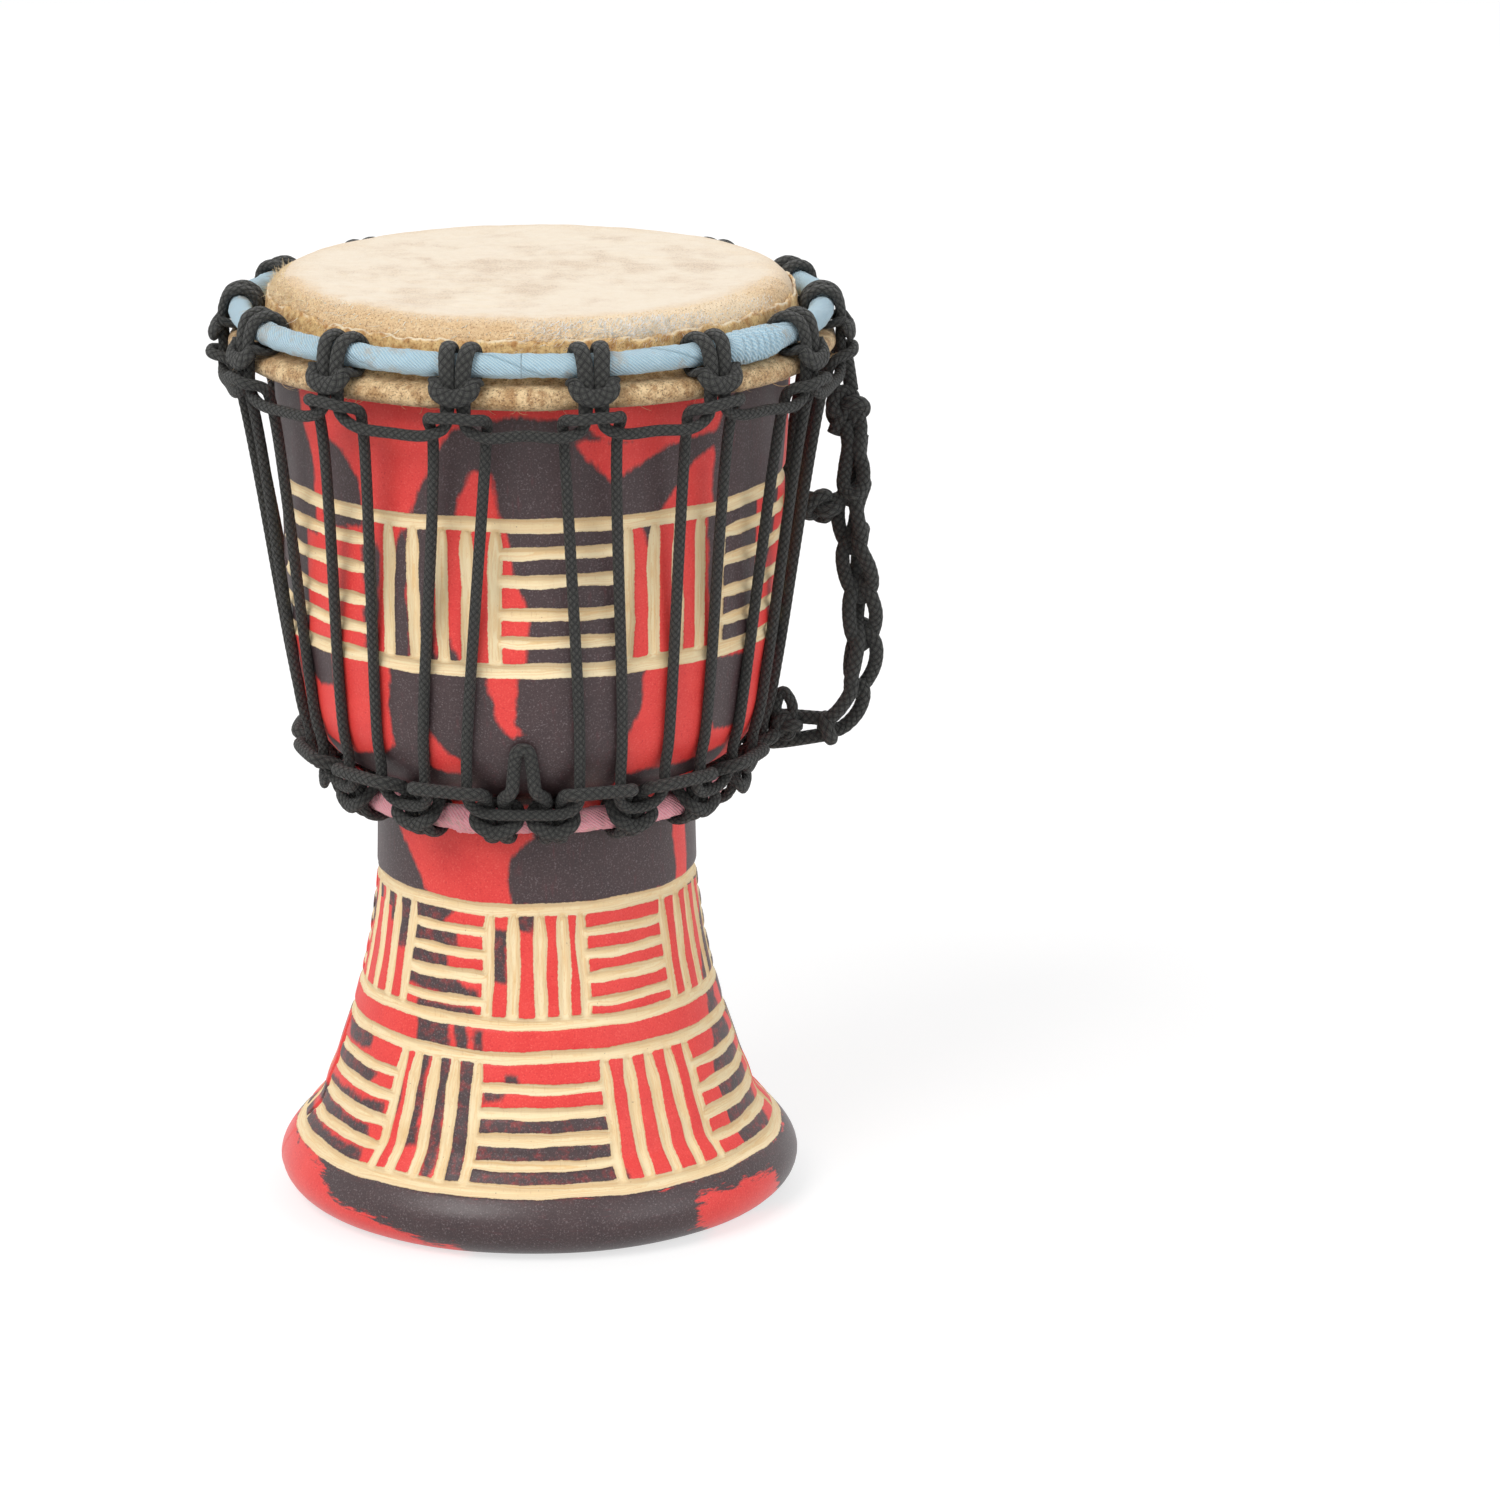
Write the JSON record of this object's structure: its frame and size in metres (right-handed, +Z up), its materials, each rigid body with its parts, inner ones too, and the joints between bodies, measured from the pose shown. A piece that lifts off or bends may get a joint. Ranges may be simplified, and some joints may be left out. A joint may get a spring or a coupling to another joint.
{
  "type": "mini djembe drum",
  "caption": "Goblet-shaped hand drum with a carved, painted wooden shell, a goatskin head laced to two taped rings by rope, and a braided carrying strap.",
  "frame": {"origin": "centre of the foot's lower face, on the drum's axis", "axes": "+Z up along the drum's axis, -Y towards the drum's front as pictured, +X towards the side that the carrying strap hangs on"},
  "size_m": [0.2122, 0.2008, 0.3],
  "materials": {
    "painted_wood": "brushed red and black paint with carved bare-wood bands",
    "goatskin": "rawhide with short hair left at the rolled edge",
    "steel_rod": "plain drawn rod, hidden under tape and skin",
    "blue_tape": "pale blue cotton strip wound on the ring",
    "pink_tape": "pink cotton strip wound on the ring",
    "black_rope": "matt braided polyester rope"
  },
  "bodies": {
    "root": {"shell": "painted_wood", "goatskin_head": "goatskin", "flesh_ring": "steel_rod", "crown_ring": "steel_rod", "base_ring": "steel_rod", "crown_ring_tape": "blue_tape", "base_ring_tape": "pink_tape", "crown_loop_rope": "black_rope", "base_loop_rope": "black_rope", "vertical_rope": "black_rope", "carrying_strap": "black_rope", "strap_top_knot": "black_rope", "strap_top_bight": "black_rope", "strap_bottom_bight": "black_rope", "strap_stopper_knot": "black_rope"}
  },
  "joints": []
}
